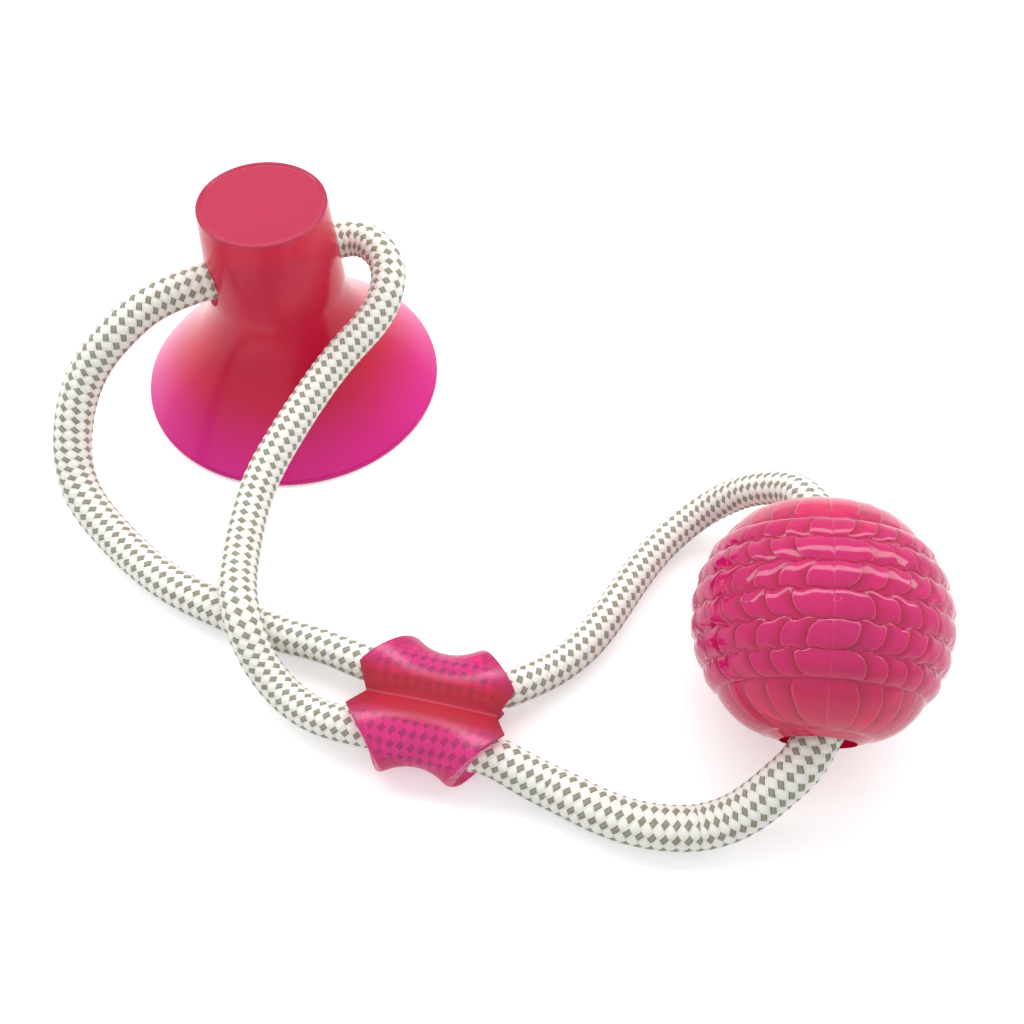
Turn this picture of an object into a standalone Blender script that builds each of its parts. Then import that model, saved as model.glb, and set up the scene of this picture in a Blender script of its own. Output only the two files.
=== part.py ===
"""Suction cup ball dog toy.

A bell-shaped suction cup stands on the floor. One loop of braided rope runs through a bore in
the cup's neck, through the two barrels of a soft sleeve, and through a hollow chew ball with
rows of overlapping scales. The rope's ends are crimped in a ferrule inside the ball.

Metres, +Z up, floor at z = 0. The origin is the middle of the footprint of the cup, the
sleeve and the ball.
"""

from math import acos, asin, atan2, cos, degrees, hypot, pi, radians, sin, sqrt

import bmesh
import bpy
import numpy as np
from mathutils import Matrix, Vector

MM = 0.001

# Fits and shading shared by all pieces
FIT_GAP = 0.3 * MM
CUT_OVERRUN = 3 * MM
MERGE_GAP = 0.001 * MM
SHARP_ANGLE = radians(38)

# Suction cup: one soft moulding, turned about a vertical axis
CUP_AT = (-73.7 * MM, 52.3 * MM)
CUP_HEIGHT = 76 * MM
CUP_STEPS = 56
BELL_STEPS = 14
HOLLOW_STEPS = 9
TOP_RIM_STEPS = 5
TOP_RIM_START = radians(135)
NECK_RADIUS = 19.9 * MM
NECK_FOOT_RADIUS = 22.1 * MM
NECK_FOOT_HEIGHT = 45.5 * MM
TOP_RIM_WIDTH = 1.6 * MM
TOP_RIM_HEIGHT = 0.5 * MM
LIP_RADIUS = 50.4 * MM
LIP_THICKNESS = 2.6 * MM
LIP_LAND = 2.4 * MM
HOLLOW_DEPTH = 17 * MM
BELL_WAIST_SHARE = 0.64
BELL_SHOULDER_SHARE = 0.37
BELL_REACH_SHARE = 0.54
HOLLOW_CROWN_SHARE = 0.55
NECK_BORE = 12.8 * MM
NECK_BORE_HEIGHT = 53 * MM
NECK_BORE_YAW = radians(28)
NECK_BORE_STEPS = 32

# Rope: one length of round braid, its ends joined inside the ball
ROPE_DIAMETER = 11.5 * MM
ROPE_SIDE_STEPS = 2
ROPE_POINT_SPACING = 10.5 * MM
ROPE_STAND_OUT = 1.5 * MM
ROPE_STRAIGHT_END = 2.5 * MM
ROUTE_STEPS = 40

# Twin sleeve: two barrels side by side, joined by a web
SLEEVE_AT = (-16.4 * MM, -81.9 * MM)
SLEEVE_YAW = radians(-11)
SLEEVE_TIP_HALF_LENGTH = 23.3 * MM
SLEEVE_NOTCH_HALF_LENGTH = 19.2 * MM
SLEEVE_CORNER_HALF_LENGTH = 10.6 * MM
SLEEVE_TIP_SPREAD = 5.8 * MM
BARREL_SPREAD_MIDDLE = 9.8 * MM
BARREL_SPREAD_END = 11.2 * MM
BARREL_RADIUS_MIDDLE = 7.7 * MM
BARREL_RADIUS_END = 9.3 * MM
BARREL_BORE = 12.2 * MM
BARREL_MOUTH = 16 * MM
WEB_HALF_HEIGHT_MIDDLE = 4.0 * MM
WEB_HALF_HEIGHT_END = 2.0 * MM
ROPE_STRAIGHT_IN_SLEEVE = 28 * MM
SLEEVE_RINGS = 13
BARREL_ARC_STEPS = 16
BORE_RINGS = 9
BORE_STEPS = 24

# Chew ball: one thick hollow moulding with a hole at each pole
BALL_AT = (89.2 * MM, -65.4 * MM)
BALL_DIAMETER = 70 * MM
BALL_WALL = 5.5 * MM
BALL_HOLE = 20 * MM
SCALE_STEP = 0.9 * MM
ROW_CROWN = 0.6 * MM
BALL_TILT = radians(17)
BALL_YAW = radians(-4.5)
BALL_TURN = radians(7.5)
ROW_ANGLE = radians(12.6)
ROWS_EACH_SIDE = 3
END_ROW_LIMIT = radians(66)
SCALES_PER_TURN = 32
FIRST_TIP_ODD_ROW = 1
FIRST_TIP_EVEN_ROW = 2
SEAM_RISE_SHARE = 0.5
SCALE_TIP_REACH = radians(4.8)
SCALE_LEAN = radians(5)
SCALE_STEP_RUN = radians(0.8)
RINGS_PER_ROW = 4
RINGS_PER_END_ROW = 6
INNER_RINGS = 12

# Crimp ferrule: a short steel tube over the rope's two ends
FERRULE_LENGTH = 20 * MM
FERRULE_WALL = 1.2 * MM
FERRULE_GROOVE_DEPTH = 0.5 * MM
FERRULE_GROOVE_WIDTH = 3 * MM
FERRULE_GROOVE_SPACING = 9 * MM
FERRULE_GROOVE_SHARES = ((-0.5, 0), (-0.2, 1), (0.2, 1), (0.5, 0))
FERRULE_SIDE_OFFSET = 8 * MM
FERRULE_RISE = 4 * MM
FERRULE_STEPS = 32

# The rope's free stretches, as points along the middle of the rope, from the cup outwards
LEFT_ROUTE = [
    (-102.4 * MM, 37.2 * MM, 52.5 * MM),
    (-110.2 * MM, 32.4 * MM, 51.0 * MM),
    (-119.1 * MM, 25.0 * MM, 46.5 * MM),
    (-124.6 * MM, 20.6 * MM, 42.0 * MM),
    (-130.8 * MM, 13.0 * MM, 34.0 * MM),
    (-133.8 * MM, 3.3 * MM, 25.0 * MM),
    (-132.8 * MM, -7.5 * MM, 15.5 * MM),
    (-129.2 * MM, -14.0 * MM, 11.3 * MM),
    (-123.5 * MM, -20.1 * MM, 8.2 * MM),
    (-111.0 * MM, -31.5 * MM, 6.1 * MM),
    (-97.2 * MM, -41.7 * MM, 6.0 * MM),
    (-80.6 * MM, -50.0 * MM, 6.0 * MM),
    (-63.1 * MM, -57.1 * MM, 6.0 * MM),
    (-48.9 * MM, -61.8 * MM, 7.6 * MM),
]
RIGHT_ROUTE = [
    (-46.9 * MM, 64.6 * MM, 53.2 * MM),
    (-41.4 * MM, 60.6 * MM, 52.6 * MM),
    (-37.6 * MM, 54.2 * MM, 50.6 * MM),
    (-37.2 * MM, 46.7 * MM, 47.4 * MM),
    (-40.6 * MM, 38.8 * MM, 43.0 * MM),
    (-48.4 * MM, 29.6 * MM, 38.4 * MM),
    (-59.6 * MM, 14.2 * MM, 31.6 * MM),
    (-67.1 * MM, 0.6 * MM, 26.6 * MM),
    (-72.9 * MM, -12.6 * MM, 22.0 * MM),
    (-75.4 * MM, -27.5 * MM, 19.0 * MM),
    (-75.4 * MM, -42.5 * MM, 18.2 * MM),
    (-74.2 * MM, -51.6 * MM, 18.6 * MM),
    (-71.4 * MM, -60.2 * MM, 17.2 * MM),
    (-67.0 * MM, -68.6 * MM, 12.2 * MM),
    (-59.2 * MM, -77.0 * MM, 8.0 * MM),
    (-48.6 * MM, -84.2 * MM, 7.8 * MM),
]
FAR_ROUTE = [
    (6.9 * MM, -73.9 * MM, 8.8 * MM),
    (17.0 * MM, -67.4 * MM, 6.6 * MM),
    (27.4 * MM, -58.0 * MM, 6.0 * MM),
    (36.7 * MM, -44.4 * MM, 6.0 * MM),
    (44.8 * MM, -31.2 * MM, 6.0 * MM),
    (55.0 * MM, -18.4 * MM, 6.6 * MM),
    (65.0 * MM, -11.0 * MM, 10.0 * MM),
    (74.2 * MM, -10.6 * MM, 19.0 * MM),
    (80.6 * MM, -15.0 * MM, 28.6 * MM),
    (87.0 * MM, -22.6 * MM, 37.6 * MM),
]
NEAR_ROUTE = [
    (8.8 * MM, -99.0 * MM, 7.6 * MM),
    (19.8 * MM, -104.0 * MM, 6.1 * MM),
    (30.6 * MM, -109.3 * MM, 6.0 * MM),
    (43.6 * MM, -113.0 * MM, 6.0 * MM),
    (56.6 * MM, -113.2 * MM, 6.4 * MM),
    (68.0 * MM, -110.4 * MM, 10.4 * MM),
    (77.0 * MM, -105.2 * MM, 17.4 * MM),
    (83.0 * MM, -100.4 * MM, 22.2 * MM),
]

CUP_PINK = (0.62, 0.04, 0.12)
BALL_PINK = (0.68, 0.04, 0.14)
SLEEVE_PINK = (0.70, 0.04, 0.24)
ROPE_CREAM = (0.82, 0.80, 0.70)
FERRULE_STEEL = (0.58, 0.58, 0.60)
CUP_ROUGHNESS = 0.25
BALL_ROUGHNESS = 0.2
SLEEVE_ROUGHNESS = 0.3
ROPE_ROUGHNESS = 0.85
FERRULE_ROUGHNESS = 0.35


def clear_scene():
    """Remove what the scene holds, so that only the toy is left."""
    for old in list(bpy.data.objects):
        bpy.data.objects.remove(old, do_unlink=True)


def finish(name, colour, roughness, metallic=0.0):
    """Make a Principled material."""
    made = bpy.data.materials.new(name)
    made.use_nodes = True
    shader = made.node_tree.nodes["Principled BSDF"]
    shader.inputs["Base Color"].default_value = (*colour, 1.0)
    shader.inputs["Roughness"].default_value = roughness
    shader.inputs["Metallic"].default_value = metallic
    return made


def add_object(name, data, material):
    """Link an object that holds this mesh or curve, with its material."""
    made = bpy.data.objects.new(name, data)
    bpy.context.scene.collection.objects.link(made)
    if material is not None:
        data.materials.append(material)
    return made


def add_mesh(name, shape, material):
    """Turn a bmesh into a smooth-shaded object whose faces point out."""
    bmesh.ops.recalc_face_normals(shape, faces=shape.faces)
    mesh = bpy.data.meshes.new(name)
    shape.to_mesh(mesh)
    shape.free()
    mesh.shade_smooth()
    mesh.set_sharp_from_angle(angle=SHARP_ANGLE)
    return add_object(name, mesh, material)


def bezier(start, pull_a, pull_b, end, steps):
    """Points of a cubic curve in a plane, both ends included."""
    points = []
    for i in range(steps + 1):
        t = i / steps
        weights = ((1 - t) ** 3, 3 * t * (1 - t) ** 2, 3 * t * t * (1 - t), t ** 3)
        corners = (start, pull_a, pull_b, end)
        points.append(tuple(sum(w * c[axis] for w, c in zip(weights, corners)) for axis in (0, 1)))
    return points


def arc(centre, radius, start, end, steps):
    """Points of a round corner in a plane, both ends included."""
    points = []
    for i in range(steps + 1):
        angle = start + (end - start) * i / steps
        points.append((centre[0] + radius * cos(angle), centre[1] + radius * sin(angle)))
    return points


def turned(profile, steps, closed=False):
    """Spin a profile of (radius, height) points about the Z axis."""
    shape = bmesh.new()
    corners = [shape.verts.new((radius, 0, height)) for radius, height in profile]
    edges = [shape.edges.new(pair) for pair in zip(corners, corners[1:])]
    if closed:
        edges.append(shape.edges.new((corners[-1], corners[0])))
    bmesh.ops.spin(
        shape, geom=corners + edges, cent=(0, 0, 0), axis=(0, 0, 1),
        angle=2 * pi, steps=steps, use_merge=True, use_duplicate=False,
    )
    bmesh.ops.remove_doubles(shape, verts=shape.verts, dist=MERGE_GAP)
    return shape


def skinned(rings, closed=False):
    """Join rings of points with faces, and cap the two ends unless the skin closes on itself."""
    shape = bmesh.new()
    loops = [[shape.verts.new(point) for point in ring] for ring in rings]
    pairs = list(zip(loops, loops[1:]))
    if closed:
        pairs.append((loops[-1], loops[0]))
    for near, far in pairs:
        for i in range(len(near)):
            j = (i + 1) % len(near)
            shape.faces.new((near[i], near[j], far[j], far[i]))
    if not closed:
        shape.faces.new(loops[0])
        shape.faces.new(loops[-1])
    return shape


def cut(target, cutter):
    """Subtract the cutter from the target, and keep the cutter as a hidden guide."""
    cutter.hide_render = True
    cutter.display_type = "WIRE"
    boolean = target.modifiers.new("cut_" + cutter.name, "BOOLEAN")
    boolean.operation = "DIFFERENCE"
    boolean.object = cutter


def smooth_route(points, start_direction, end_direction):
    """Evenly spaced points on a smooth curve through the route, with its end directions set."""
    knots = np.array(points, dtype=float)
    gaps = np.linalg.norm(np.diff(knots, axis=0), axis=1)
    count = len(knots)
    matrix = np.zeros((count, count))
    target = np.zeros((count, 3))
    matrix[0, 0] = matrix[-1, -1] = 1
    target[0] = start_direction
    target[-1] = end_direction
    for i in range(1, count - 1):
        before, after = gaps[i - 1], gaps[i]
        matrix[i, i - 1:i + 2] = (after, 2 * (before + after), before)
        rise_after = (knots[i + 1] - knots[i]) / after
        rise_before = (knots[i] - knots[i - 1]) / before
        target[i] = 3 * (before * rise_after + after * rise_before)
    slopes = np.linalg.solve(matrix, target)
    fine = []
    for i, gap in enumerate(gaps):
        for t in np.linspace(0, 1, ROUTE_STEPS, endpoint=False):
            fine.append(
                (1 + 2 * t) * (1 - t) ** 2 * knots[i] + t * (1 - t) ** 2 * gap * slopes[i]
                + t * t * (3 - 2 * t) * knots[i + 1] + t * t * (t - 1) * gap * slopes[i + 1]
            )
    fine.append(knots[-1])
    fine = np.array(fine)
    along = np.concatenate([[0], np.cumsum(np.linalg.norm(np.diff(fine, axis=0), axis=1))])
    spans = max(2, round(along[-1] / ROPE_POINT_SPACING))
    places = np.linspace(0, along[-1], spans + 1)
    return np.stack([np.interp(places, along, fine[:, axis]) for axis in range(3)], axis=1)


def ball_centre():
    return Vector((*BALL_AT, BALL_DIAMETER / 2))


def ball_matrix():
    """The ball's own frame: Z runs out of the front hole, X up to the mould seam."""
    return (
        Matrix.Translation(ball_centre()) @ Matrix.Rotation(BALL_YAW, 4, "Z")
        @ Matrix.Rotation(pi / 2 + BALL_TILT, 4, "X") @ Matrix.Rotation(pi / 2 + BALL_TURN, 4, "Z")
    )


def ball_axis():
    """Unit vector from the ball's middle out of its front hole."""
    return (ball_matrix().to_3x3() @ Vector((0, 0, 1))).normalized()


def ferrule_centre():
    """The ferrule hangs to one side in the hollow, where the bent rope holds it."""
    side = ball_axis().cross(Vector((0, 0, 1))).normalized()
    if side.x < 0:
        side = -side
    return ball_centre() + side * FERRULE_SIDE_OFFSET + Vector((0, 0, FERRULE_RISE))


def bore_centre():
    return Vector((*CUP_AT, NECK_BORE_HEIGHT))


def bore_axis():
    return Vector((cos(NECK_BORE_YAW), sin(NECK_BORE_YAW), 0))


def sleeve_matrix():
    """The sleeve's own frame: X along its barrels, resting on its flared ends."""
    place = Matrix.Translation((*SLEEVE_AT, BARREL_RADIUS_END))
    return place @ Matrix.Rotation(SLEEVE_YAW, 4, "Z")


def bell_curve():
    """The bell's flank, from the foot of the neck out and down to the lip."""
    start = (NECK_FOOT_RADIUS, NECK_FOOT_HEIGHT)
    end = (LIP_RADIUS, LIP_THICKNESS)
    spread = LIP_RADIUS - NECK_FOOT_RADIUS
    pull_a = (NECK_FOOT_RADIUS, NECK_FOOT_HEIGHT * BELL_WAIST_SHARE)
    pull_b = (NECK_FOOT_RADIUS + spread * BELL_REACH_SHARE, NECK_FOOT_HEIGHT * BELL_SHOULDER_SHARE)
    return bezier(start, pull_a, pull_b, end, BELL_STEPS)


def cup_profile():
    """Half section of the suction cup, from the middle of its top to the middle of its hollow."""
    edge = TOP_RIM_WIDTH / 2
    top = [(0, CUP_HEIGHT - TOP_RIM_HEIGHT)]
    top.append((NECK_RADIUS - 2 * TOP_RIM_WIDTH, CUP_HEIGHT - TOP_RIM_HEIGHT))
    top += arc((NECK_RADIUS - edge, CUP_HEIGHT - edge), edge, TOP_RIM_START, 0, TOP_RIM_STEPS)
    lip = [(LIP_RADIUS, LIP_THICKNESS / 2)]
    lip.append((LIP_RADIUS - LIP_THICKNESS / 4, 0))
    land_inside = LIP_RADIUS - LIP_THICKNESS / 4 - LIP_LAND
    crown = (land_inside * HOLLOW_CROWN_SHARE, HOLLOW_DEPTH)
    rise = (land_inside * (1 + HOLLOW_CROWN_SHARE) / 2, HOLLOW_DEPTH * HOLLOW_CROWN_SHARE)
    hollow = bezier((land_inside, 0), rise, crown, (0, HOLLOW_DEPTH), HOLLOW_STEPS)
    return top + bell_curve() + lip + hollow


def make_cup(material):
    cup = add_mesh("suction_cup", turned(cup_profile(), CUP_STEPS), material)
    cup.location = (*CUP_AT, 0)
    reach = 2 * (NECK_FOOT_RADIUS + CUT_OVERRUN)
    shape = bmesh.new()
    bmesh.ops.create_cone(
        shape, cap_ends=True, segments=NECK_BORE_STEPS,
        radius1=NECK_BORE / 2, radius2=NECK_BORE / 2, depth=reach,
    )
    drill = add_mesh("neck_bore_guide", shape, None)
    drill.location = bore_centre()
    drill.rotation_euler = (0, pi / 2, NECK_BORE_YAW)
    cut(cup, drill)
    return cup


def sleeve_end(across):
    """How far the sleeve reaches along its barrels at this distance from its middle."""
    if across <= SLEEVE_TIP_SPREAD:
        share = 1 - across / SLEEVE_TIP_SPREAD
        return SLEEVE_TIP_HALF_LENGTH - (SLEEVE_TIP_HALF_LENGTH - SLEEVE_NOTCH_HALF_LENGTH) * share ** 2
    widest = BARREL_SPREAD_END + BARREL_RADIUS_END
    share = (across - SLEEVE_TIP_SPREAD) / (widest - SLEEVE_TIP_SPREAD)
    return SLEEVE_TIP_HALF_LENGTH - (SLEEVE_TIP_HALF_LENGTH - SLEEVE_CORNER_HALF_LENGTH) * share


def flare(middle, end, along_share):
    """A size that grows from the middle of the sleeve to its ends."""
    return middle + (end - middle) * along_share ** 2


def sleeve_section(along_share):
    """One cross-section of the sleeve: two barrels, with a valley between them above and below."""
    spread = flare(BARREL_SPREAD_MIDDLE, BARREL_SPREAD_END, along_share)
    radius = flare(BARREL_RADIUS_MIDDLE, BARREL_RADIUS_END, along_share)
    web = flare(WEB_HALF_HEIGHT_MIDDLE, WEB_HALF_HEIGHT_END, along_share)
    reach = pi - atan2(web, spread) - acos(radius / hypot(spread, web))
    section = [(0, web)]
    for i in range(BARREL_ARC_STEPS + 1):
        angle = reach - 2 * reach * i / BARREL_ARC_STEPS
        section.append((spread + radius * cos(angle), radius * sin(angle)))
    section.append((0, -web))
    for i in range(BARREL_ARC_STEPS + 1):
        angle = -reach + 2 * reach * i / BARREL_ARC_STEPS
        section.append((-spread - radius * cos(angle), radius * sin(angle)))
    return [Vector((along_share * sleeve_end(abs(across)), across, up)) for across, up in section]


def barrel_bore(side):
    """The hole through one barrel, which widens and leans out at both mouths like the barrel."""
    rings = []
    for i in range(BORE_RINGS):
        share = 2 * i / (BORE_RINGS - 1) - 1
        spread = flare(BARREL_SPREAD_MIDDLE, BARREL_SPREAD_END, share)
        radius = flare(BARREL_BORE, BARREL_MOUTH, share) / 2
        ring = []
        for j in range(BORE_STEPS):
            angle = 2 * pi * j / BORE_STEPS
            across = spread + radius * cos(angle)
            ring.append(Vector((share * sleeve_end(across), side * across, radius * sin(angle))))
        rings.append(ring)
    overrun = Vector((CUT_OVERRUN, 0, 0))
    rings.insert(0, [point - overrun for point in rings[0]])
    rings.append([point + overrun for point in rings[-1]])
    return skinned(rings)


def make_sleeve(material):
    rings = []
    for i in range(SLEEVE_RINGS):
        rings.append(sleeve_section(2 * i / (SLEEVE_RINGS - 1) - 1))
    sleeve = add_mesh("twin_sleeve", skinned(rings), material)
    sleeve.matrix_world = sleeve_matrix()
    for label, side in (("far", 1), ("near", -1)):
        guide = add_mesh(label + "_barrel_bore_guide", barrel_bore(side), None)
        guide.matrix_world = sleeve_matrix()
        cut(sleeve, guide)
    return sleeve


def scale_point(latitude, column, odd_row, share):
    """One point of the ball's scaly skin, where share is how far across its row it lies.

    Columns are counted from the mould seam, alike on both sides of it. Each scale rises to a
    round tip that points away from the seam, and drops from there to the foot of the next. The
    tips lean to one side of their row, by turns from row to row and from side to side of the seam.
    """
    half = SCALES_PER_TURN
    side = 1 if column <= half else -1
    place = column if column <= half else 2 * half - column
    column_angle = pi / half
    first_tip = FIRST_TIP_ODD_ROW if odd_row else FIRST_TIP_EVEN_ROW
    is_tip = place >= first_tip and (place - first_tip) % 2 == 0
    carrier = place if is_tip or place < first_tip else place - 1
    crown = sqrt(sin(pi * share))
    longitude = place * column_angle
    if place == 0 or place == half:
        rise = SEAM_RISE_SHARE if place == 0 else float(is_tip)
    elif place < first_tip:
        rise = SEAM_RISE_SHARE + (1 - SEAM_RISE_SHARE) * place / first_tip
    elif is_tip:
        rise = 1.0
    else:
        rise = 0.0
        if share > 0:
            longitude = carrier * column_angle + SCALE_STEP_RUN
    if share > 0 and 0 < place < half:
        lean = SCALE_LEAN * (share - 0.5) * (side if odd_row else -side)
        loose = min(1, carrier / first_tip, (half - carrier) / 2)
        longitude += (SCALE_TIP_REACH * crown + lean) * loose
    skin = BALL_DIAMETER / 2 - SCALE_STEP - ROW_CROWN
    radius = skin + crown * (ROW_CROWN + SCALE_STEP * rise)
    flat = radius * cos(latitude)
    return Vector((flat * cos(side * longitude), flat * sin(side * longitude), radius * sin(latitude)))


def round_ring(radius, latitude):
    """A plain ring about the ball's axis, with as many points as a ring of scales."""
    ring = []
    for column in range(2 * SCALES_PER_TURN):
        angle = pi * column / SCALES_PER_TURN
        flat = radius * cos(latitude)
        ring.append(Vector((flat * cos(angle), flat * sin(angle), radius * sin(latitude))))
    return ring


def ball_rings():
    """Rings over the scaly outside from the rear hole to the front one, then back inside."""
    rows = []
    for index in range(-ROWS_EACH_SIDE, ROWS_EACH_SIDE):
        rows.append((index * ROW_ANGLE, (index + 1) * ROW_ANGLE, index % 2 == 1, RINGS_PER_ROW))
    edge = ROWS_EACH_SIDE * ROW_ANGLE
    rows.insert(0, (-END_ROW_LIMIT, -edge, ROWS_EACH_SIDE % 2 == 0, RINGS_PER_END_ROW))
    rows.append((edge, END_ROW_LIMIT, ROWS_EACH_SIDE % 2 == 1, RINGS_PER_END_ROW))
    skin = BALL_DIAMETER / 2 - SCALE_STEP - ROW_CROWN
    hollow = skin + ROW_CROWN - BALL_WALL
    hole_outside = acos(BALL_HOLE / 2 / skin)
    hole_inside = acos(BALL_HOLE / 2 / hollow)
    rings = [round_ring(skin, -hole_outside)]
    for lower, upper, odd_row, count in rows:
        for i in range(count):
            share = i / count
            latitude = lower + (upper - lower) * share
            columns = range(2 * SCALES_PER_TURN)
            rings.append([scale_point(latitude, column, odd_row, share) for column in columns])
    rings.append(round_ring(skin, END_ROW_LIMIT))
    rings.append(round_ring(skin, hole_outside))
    for i in range(INNER_RINGS + 1):
        rings.append(round_ring(hollow, hole_inside - 2 * hole_inside * i / INNER_RINGS))
    return rings


def make_ball(material):
    ball = add_mesh("chew_ball", skinned(ball_rings(), closed=True), material)
    ball.matrix_world = ball_matrix()
    return ball


def ferrule_profile():
    """Closed section of the ferrule: a tube with crimped grooves round it."""
    bore = ROPE_DIAMETER / 2 + FIT_GAP
    outside = bore + FERRULE_WALL
    half = FERRULE_LENGTH / 2
    profile = [(bore, -half), (outside - FERRULE_WALL / 3, -half), (outside, -half + FERRULE_WALL / 3)]
    for middle in (-FERRULE_GROOVE_SPACING / 2, FERRULE_GROOVE_SPACING / 2):
        for share, depth_share in FERRULE_GROOVE_SHARES:
            place = middle + share * FERRULE_GROOVE_WIDTH
            profile.append((outside - depth_share * FERRULE_GROOVE_DEPTH, place))
    profile += [(outside, half - FERRULE_WALL / 3), (outside - FERRULE_WALL / 3, half), (bore, half)]
    return profile


def make_ferrule(material):
    ferrule = add_mesh("crimp_ferrule", turned(ferrule_profile(), FERRULE_STEPS, closed=True), material)
    turn = Vector((0, 0, 1)).rotation_difference(ball_axis()).to_matrix().to_4x4()
    ferrule.matrix_world = Matrix.Translation(ferrule_centre()) @ turn
    return ferrule


def make_rope_piece(name, points, pivot, material):
    """A plain round tube along these points, held by the pivot of the rope loop."""
    data = bpy.data.curves.new(name, "CURVE")
    data.dimensions = "3D"
    data.bevel_depth = ROPE_DIAMETER / 2
    data.bevel_resolution = ROPE_SIDE_STEPS
    data.use_fill_caps = True
    spline = data.splines.new("POLY")
    spline.points.add(len(points) - 1)
    for target, point in zip(spline.points, points):
        target.co = (*(Vector(point) - pivot.location), 1)
    piece = add_object(name, data, material)
    piece.parent = pivot
    return piece


def moved(point, direction, distance):
    return Vector(point) + Vector(direction) * distance


def make_rope(material):
    """The rope loop, piece by piece: in the neck, in the barrels, and its four free stretches."""
    pivot = bpy.data.objects.new("rope_loop_pivot", None)
    pivot.location = bore_centre()
    bpy.context.scene.collection.objects.link(pivot)

    bore = bore_axis()
    half_neck = NECK_FOOT_RADIUS + ROPE_STAND_OUT
    neck_right = moved(bore_centre(), bore, half_neck)
    neck_left = moved(bore_centre(), bore, -half_neck)
    make_rope_piece("rope_in_neck", [neck_left, neck_right], pivot, material)

    along = (sleeve_matrix().to_3x3() @ Vector((1, 0, 0))).normalized()
    ends = {}
    for label, side in (("far", 1), ("near", -1)):
        middle = sleeve_matrix() @ Vector((0, side * BARREL_SPREAD_MIDDLE, 0))
        ends[label, "cup"] = moved(middle, along, -ROPE_STRAIGHT_IN_SLEEVE / 2)
        ends[label, "ball"] = moved(middle, along, ROPE_STRAIGHT_IN_SLEEVE / 2)
        inside = [ends[label, "cup"], ends[label, "ball"]]
        make_rope_piece("rope_in_sleeve_" + label, inside, pivot, material)

    for name, start, start_way, route, end in (
        ("rope_left_stretch", neck_left, -bore, LEFT_ROUTE, ends["far", "cup"]),
        ("rope_right_stretch", neck_right, bore, RIGHT_ROUTE, ends["near", "cup"]),
    ):
        first = moved(start, start_way, FIT_GAP)
        last = moved(end, along, -FIT_GAP)
        bend_start = moved(first, start_way, ROPE_STRAIGHT_END)
        bend_end = moved(last, along, -ROPE_STRAIGHT_END)
        points = smooth_route([bend_start, *route, bend_end], start_way, along)
        make_rope_piece(name, [first, *points, last], pivot, material)

    wall_middle = BALL_DIAMETER / 2 - SCALE_STEP - ROW_CROWN - BALL_WALL / 2
    for name, start, route, way in (
        ("rope_far_stretch", ends["far", "ball"], FAR_ROUTE, -ball_axis()),
        ("rope_near_stretch", ends["near", "ball"], NEAR_ROUTE, ball_axis()),
    ):
        first = moved(start, along, FIT_GAP)
        bend_start = moved(first, along, ROPE_STRAIGHT_END)
        hole = moved(ball_centre(), way, wall_middle)
        bend_end = moved(ferrule_centre(), way, FERRULE_LENGTH / 2 + ROPE_STRAIGHT_END)
        last = moved(ferrule_centre(), way, FIT_GAP / 2)
        points = smooth_route([bend_start, *route, hole, bend_end], along, -way)
        make_rope_piece(name, [first, *points, last], pivot, material)


def build():
    clear_scene()
    make_cup(finish("pink_soft_moulding", CUP_PINK, CUP_ROUGHNESS))
    make_ball(finish("pink_ball_moulding", BALL_PINK, BALL_ROUGHNESS))
    make_sleeve(finish("magenta_sleeve_moulding", SLEEVE_PINK, SLEEVE_ROUGHNESS))
    make_ferrule(finish("plated_steel", FERRULE_STEEL, FERRULE_ROUGHNESS, metallic=1.0))
    make_rope(finish("cream_braid", ROPE_CREAM, ROPE_ROUGHNESS))


build()
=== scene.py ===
"""The looks of the suction cup ball dog toy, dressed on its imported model.

One braided rope loops through a translucent cup, a soft twin sleeve and a scaly chew ball. The
sections follow the toy as it is put together. Metres, +Z up, floor at z = 0.
"""

from math import acos, atan2, ceil, cos, hypot, pi, radians, sin, sqrt

import bpy
import numpy as np
from mathutils import Matrix, Vector


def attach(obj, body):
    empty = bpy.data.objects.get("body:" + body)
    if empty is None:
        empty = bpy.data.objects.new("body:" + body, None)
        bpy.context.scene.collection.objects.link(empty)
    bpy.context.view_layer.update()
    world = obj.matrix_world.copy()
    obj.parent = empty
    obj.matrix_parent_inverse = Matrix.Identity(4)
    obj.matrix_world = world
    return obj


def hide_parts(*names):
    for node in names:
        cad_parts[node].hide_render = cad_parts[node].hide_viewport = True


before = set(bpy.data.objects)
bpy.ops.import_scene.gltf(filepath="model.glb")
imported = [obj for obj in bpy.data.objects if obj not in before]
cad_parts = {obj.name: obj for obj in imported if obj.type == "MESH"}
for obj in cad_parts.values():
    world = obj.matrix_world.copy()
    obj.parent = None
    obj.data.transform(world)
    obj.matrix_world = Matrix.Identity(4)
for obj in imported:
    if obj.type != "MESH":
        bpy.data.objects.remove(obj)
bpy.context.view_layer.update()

# The camera stands on the toy's near side and looks down on it at 54 degrees. It is turned a
# little about its own line of sight, as it was when the toy was photographed.
CAMERA_PLACE = (0.0047, -0.2263, 0.3046)
CAMERA_TILT = 35.9
CAMERA_ROLL = 1.53
lens = bpy.data.cameras.new("camera")
lens.lens = 40.43
lens.sensor_width = 36
lens.clip_start = 0.01
camera = bpy.data.objects.new("camera", lens)
camera.matrix_world = (
    Matrix.Translation(CAMERA_PLACE)
    @ Matrix.Rotation(radians(CAMERA_TILT), 4, "X")
    @ Matrix.Rotation(radians(CAMERA_ROLL), 4, "Z")
)
bpy.context.scene.collection.objects.link(camera)
bpy.context.scene.camera = camera

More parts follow.
